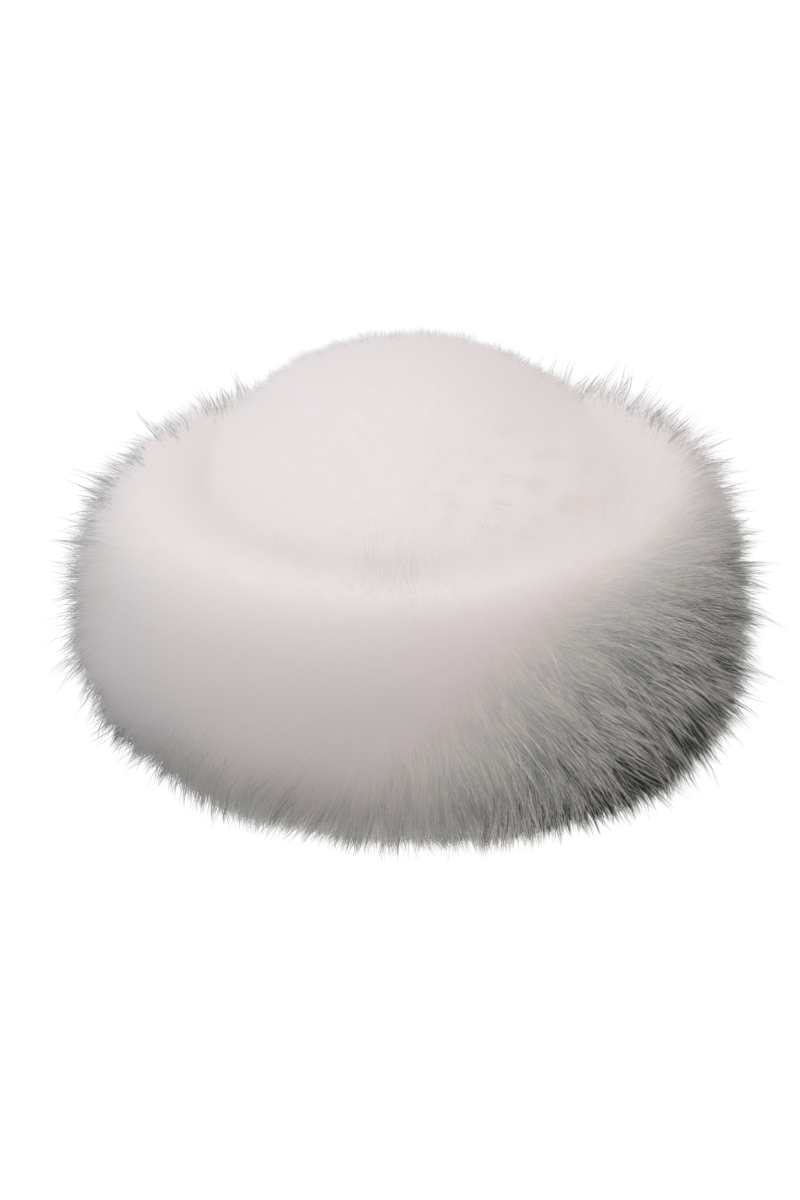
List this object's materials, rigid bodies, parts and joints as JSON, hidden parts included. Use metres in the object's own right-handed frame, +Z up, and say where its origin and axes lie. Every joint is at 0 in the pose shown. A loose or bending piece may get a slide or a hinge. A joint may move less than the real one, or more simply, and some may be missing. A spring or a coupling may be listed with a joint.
{
  "type": "fur roller hat",
  "caption": "Round fur hat with a soft domed crown inside a deep, rolled-up fur cuff, open underneath for the head.",
  "frame": {"origin": "centre of the hat's footprint, on the surface that the cuff's lower edge rests on", "axes": "+Z up through the crown's peak, -Y to the front, Y along the longer front-to-back axis of the head opening"},
  "size_m": [0.3392, 0.3632, 0.2003],
  "materials": {
    "hide": "cream dressed hide, suede nap, matt",
    "crown_fur": "short dense warm white fur, matt",
    "cuff_fur": "deep white fox fur with fine guard hair, matt"
  },
  "bodies": {
    "root": {"crown_shell": "hide", "crown_fur": "crown_fur", "cuff_band": "hide", "cuff_fur": "cuff_fur"}
  },
  "joints": []
}
